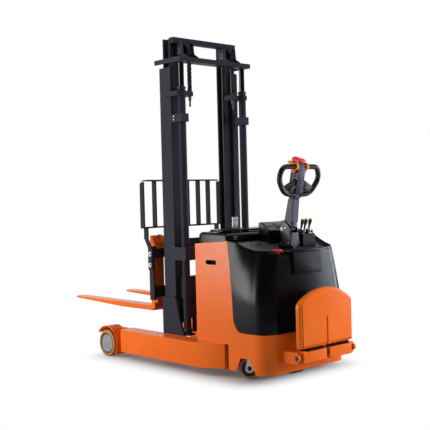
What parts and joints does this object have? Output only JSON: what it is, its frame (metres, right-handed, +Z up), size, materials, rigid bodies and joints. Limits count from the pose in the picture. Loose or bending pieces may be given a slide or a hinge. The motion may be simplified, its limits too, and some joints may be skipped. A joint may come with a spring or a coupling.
{
  "type": "electric reach stacker",
  "caption": "Pedestrian electric reach stacker: straddle legs, reaching two-stage mast with chains, tilting forks, steered tiller drive unit and fold-up platform",
  "frame": {"origin": "on the floor, in the mid-plane, half-way between the fork tips and the platform's rear", "axes": "+X forward to the fork tips, +Y to the truck's left, +Z up"},
  "size_m": [2.56, 1.004, 2.422],
  "materials": {
    "orange_paint": "smooth gloss enamel, safety orange",
    "mast_paint": "satin charcoal enamel",
    "cover_plastic": "black moulded plastic, fine grain, satin",
    "deck_plastic": "dark grey moulded plastic, matte",
    "console_plastic": "mid grey moulded plastic",
    "tiller_paint": "blue-grey powder coat",
    "tiller_plastic": "dark grey moulded grip plastic",
    "bracket_paint": "dark grey enamel",
    "chrome_rod": "hard chrome, polished",
    "bright_steel": "machined steel",
    "chain_steel": "oiled steel",
    "wheel_cast": "silver-grey painted casting",
    "amber_tyre": "amber polyurethane, satin",
    "castor_tyre": "brown polyurethane, satin",
    "black_tyre": "black rubber",
    "cast_grey": "cast housing, dark grey",
    "machine_alloy": "sand-cast alloy",
    "battery_case": "black battery case",
    "red_plastic": "red gloss plastic",
    "yellow_plastic": "orange-yellow gloss plastic",
    "lever_plastic": "black lever knob"
  },
  "bodies": {
    "chassis": {"left_leg": "orange_paint", "right_leg": "orange_paint", "chassis_frame": "orange_paint", "body_panels": "orange_paint", "rear_cover": "cover_plastic", "deck_panel": "deck_plastic", "console": "console_plastic", "battery": "battery_case", "hydraulic_unit": "machine_alloy", "motor_controller": "machine_alloy", "valve_block": "cast_grey", "reach_cylinders": "mast_paint", "steer_bearing": "bright_steel", "platform_hinge": "bright_steel"},
    "battery_lid": {"battery_lid": "cover_plastic"},
    "left_load_wheel": {"left_load_hub": "wheel_cast", "left_load_tyre": "amber_tyre"},
    "right_load_wheel": {"right_load_hub": "wheel_cast", "right_load_tyre": "amber_tyre"},
    "left_castor": {"left_castor_fork": "bright_steel"},
    "left_castor_wheel": {"left_castor_wheel": "castor_tyre"},
    "right_castor": {"right_castor_fork": "bright_steel"},
    "right_castor_wheel": {"right_castor_wheel": "castor_tyre"},
    "drive_unit": {"drive_gearbox": "cast_grey", "drive_motor": "cast_grey", "tiller_base": "bracket_paint"},
    "drive_wheel": {"drive_wheel": "black_tyre"},
    "tiller": {"tiller_arm": "tiller_paint", "tiller_head": "tiller_plastic"},
    "throttle": {"throttle_paddles": "yellow_plastic"},
    "belly_button": {"belly_button": "red_plastic"},
    "lift_lever": {"lift_lever": "lever_plastic"},
    "reach_lever": {"reach_lever": "lever_plastic"},
    "tilt_lever": {"tilt_lever": "lever_plastic"},
    "stop_knob": {"stop_knob": "red_plastic"},
    "key_switch": {"key_switch": "bright_steel"},
    "platform": {"platform": "orange_paint"},
    "outer_mast": {"outer_columns": "mast_paint", "mast_frame": "mast_paint", "lift_cylinders": "mast_paint", "chain_anchors": "chain_steel", "reach_rods": "chrome_rod"},
    "front_reach_rollers": {"front_reach_rollers": "bright_steel"},
    "rear_reach_rollers": {"rear_reach_rollers": "bright_steel"},
    "upper_mast_rollers": {"upper_mast_rollers": "bright_steel"},
    "inner_mast": {"inner_mast": "mast_paint", "mast_yoke": "mast_paint", "lift_rods": "chrome_rod", "rear_chains": "chain_steel"},
    "lower_mast_rollers": {"lower_mast_rollers": "bright_steel"},
    "chain_sheaves": {"chain_sheaves": "bright_steel"},
    "carriage": {"lift_carriage": "mast_paint", "front_chains": "chain_steel"},
    "upper_carriage_rollers": {"upper_carriage_rollers": "bright_steel"},
    "lower_carriage_rollers": {"lower_carriage_rollers": "bright_steel"},
    "tilt_plungers": {"tilt_plungers": "chrome_rod"},
    "fork_carriage": {"fork_carriage": "mast_paint", "load_backrest": "mast_paint"},
    "left_fork": {"left_fork": "orange_paint"},
    "right_fork": {"right_fork": "orange_paint"}
  },
  "joints": [
    {"name": "lid_hinge", "type": "hinge", "parent": "chassis", "child": "battery_lid", "pos_m": [-0.427, 0, 0.909], "axis": [0, 1, 0], "range_deg": [0, 75]},
    {"name": "left_load_spin", "type": "hinge", "parent": "chassis", "child": "left_load_wheel", "pos_m": [0.557, 0.46, 0.105], "axis": [0, 1, 0], "continuous": true},
    {"name": "right_load_spin", "type": "hinge", "parent": "chassis", "child": "right_load_wheel", "pos_m": [0.557, -0.46, 0.105], "axis": [0, 1, 0], "continuous": true},
    {"name": "left_castor_swivel", "type": "hinge", "parent": "chassis", "child": "left_castor", "pos_m": [-0.89, 0.318, 0.19], "axis": [0, 0, 1], "continuous": true},
    {"name": "left_castor_spin", "type": "hinge", "parent": "left_castor", "child": "left_castor_wheel", "pos_m": [-0.87003, 0.33305, 0.075], "axis": [-0.6018, 0.7986, 0], "continuous": true},
    {"name": "right_castor_swivel", "type": "hinge", "parent": "chassis", "child": "right_castor", "pos_m": [-0.89, -0.318, 0.19], "axis": [0, 0, 1], "continuous": true},
    {"name": "right_castor_spin", "type": "hinge", "parent": "right_castor", "child": "right_castor_wheel", "pos_m": [-0.915, -0.318, 0.075], "axis": [0, -1, 0], "continuous": true},
    {"name": "steer", "type": "hinge", "parent": "chassis", "child": "drive_unit", "pos_m": [-0.955, 0, 0.33], "axis": [0, 0, 1], "range_deg": [-85, 85]},
    {"name": "drive_spin", "type": "hinge", "parent": "drive_unit", "child": "drive_wheel", "pos_m": [-0.955, 0, 0.125], "axis": [0, 1, 0], "continuous": true},
    {"name": "tiller_tilt", "type": "hinge", "parent": "drive_unit", "child": "tiller", "pos_m": [-0.959, 0, 1.004], "axis": [0, -1, 0], "range_deg": [0, 50], "stiffness_Nm_per_rad": 30, "springref_deg": -34.38},
    {"name": "throttle_turn", "type": "hinge", "parent": "tiller", "child": "throttle", "pos_m": [-1.07019, 0, 1.42833], "axis": [0, 1, 0], "range_deg": [-25, 25], "stiffness_Nm_per_rad": 0.8},
    {"name": "belly_press", "type": "slide", "parent": "tiller", "child": "belly_button", "axis": [0.2045, 0, -0.9789], "range_m": [0, 0.008], "stiffness_N_per_m": 500, "springref_m": -0.01},
    {"name": "lift_lever_turn", "type": "hinge", "parent": "chassis", "child": "lift_lever", "pos_m": [-0.913, -0.158, 0.969], "axis": [0, 1, 0], "range_deg": [-15, 15], "stiffness_Nm_per_rad": 3},
    {"name": "reach_lever_turn", "type": "hinge", "parent": "chassis", "child": "reach_lever", "pos_m": [-0.913, -0.194, 0.969], "axis": [0, 1, 0], "range_deg": [-15, 15], "stiffness_Nm_per_rad": 3},
    {"name": "tilt_lever_turn", "type": "hinge", "parent": "chassis", "child": "tilt_lever", "pos_m": [-0.913, -0.24, 0.969], "axis": [0, 1, 0], "range_deg": [-15, 15], "stiffness_Nm_per_rad": 3},
    {"name": "stop_press", "type": "slide", "parent": "chassis", "child": "stop_knob", "axis": [0, 0, -1], "range_m": [0, 0.012]},
    {"name": "key_turn", "type": "hinge", "parent": "chassis", "child": "key_switch", "pos_m": [-0.962, -0.207, 0.976], "axis": [1, 0, 0], "range_deg": [0, 90]},
    {"name": "platform_fold", "type": "hinge", "parent": "chassis", "child": "platform", "pos_m": [-1.256, 0, 0.178], "axis": [0, -1, 0], "range_deg": [0, 90], "stiffness_Nm_per_rad": 40, "springref_deg": -17.19},
    {"name": "reach_slide", "type": "slide", "parent": "chassis", "child": "outer_mast", "axis": [1, 0, 0], "range_m": [0, 0.48]},
    {"name": "front_reach_roll", "type": "hinge", "parent": "outer_mast", "child": "front_reach_rollers", "pos_m": [-0.205, 0, 0.1425], "axis": [0, 1, 0], "continuous": true},
    {"name": "rear_reach_roll", "type": "hinge", "parent": "outer_mast", "child": "rear_reach_rollers", "pos_m": [-0.455, 0, 0.1425], "axis": [0, 1, 0], "continuous": true},
    {"name": "mast_lift", "type": "slide", "parent": "outer_mast", "child": "inner_mast", "axis": [0, 0, 1], "range_m": [-0.17, 1.33], "deforming": ["rear_chains"]},
    {"name": "upper_mast_roll", "type": "hinge", "parent": "outer_mast", "child": "upper_mast_rollers", "pos_m": [-0.056, 0, 2.14], "axis": [0, 1, 0], "continuous": true},
    {"name": "lower_mast_roll", "type": "hinge", "parent": "inner_mast", "child": "lower_mast_rollers", "pos_m": [-0.056, 0, 0.345], "axis": [0, 1, 0], "continuous": true},
    {"name": "sheave_turn", "type": "hinge", "parent": "inner_mast", "child": "chain_sheaves", "pos_m": [-0.143, 0, 2.32], "axis": [0, 1, 0], "continuous": true},
    {"name": "carriage_lift", "type": "slide", "parent": "inner_mast", "child": "carriage", "axis": [0, 0, 1], "range_m": [-0.17, 1.33], "deforming": ["front_chains"]},
    {"name": "upper_carriage_roll", "type": "hinge", "parent": "carriage", "child": "upper_carriage_rollers", "pos_m": [-0.056, 0, 0.86], "axis": [0, 1, 0], "continuous": true},
    {"name": "lower_carriage_roll", "type": "hinge", "parent": "carriage", "child": "lower_carriage_rollers", "pos_m": [-0.056, 0, 0.54], "axis": [0, 1, 0], "continuous": true},
    {"name": "fork_tilt", "type": "hinge", "parent": "carriage", "child": "fork_carriage", "pos_m": [0.1, 0, 0.815], "axis": [0, -1, 0], "range_deg": [-2, 4]},
    {"name": "plunger_slide", "type": "slide", "parent": "carriage", "child": "tilt_plungers", "axis": [1, 0, 0], "range_m": [-0.0105, 0.0207]},
    {"name": "left_fork_slide", "type": "slide", "parent": "fork_carriage", "child": "left_fork", "axis": [0, 1, 0], "range_m": [-0.095, 0.025]},
    {"name": "right_fork_slide", "type": "slide", "parent": "fork_carriage", "child": "right_fork", "axis": [0, 1, 0], "range_m": [-0.025, 0.095]}
  ],
  "couplings": [
    {"joint": "front_reach_roll", "follows": "reach_slide", "rad_per_m": 14.925},
    {"joint": "rear_reach_roll", "follows": "reach_slide", "rad_per_m": 14.925},
    {"joint": "upper_mast_roll", "follows": "mast_lift", "rad_per_m": 33.784},
    {"joint": "lower_mast_roll", "follows": "mast_lift", "rad_per_m": -21.93},
    {"joint": "sheave_turn", "follows": "mast_lift", "rad_per_m": -19.881},
    {"joint": "carriage_lift", "follows": "mast_lift", "ratio": 1},
    {"joint": "upper_carriage_roll", "follows": "mast_lift", "rad_per_m": -33.784},
    {"joint": "lower_carriage_roll", "follows": "mast_lift", "rad_per_m": -33.784},
    {"joint": "plunger_slide", "follows": "fork_tilt", "m_per_rad": 0.29}
  ]
}
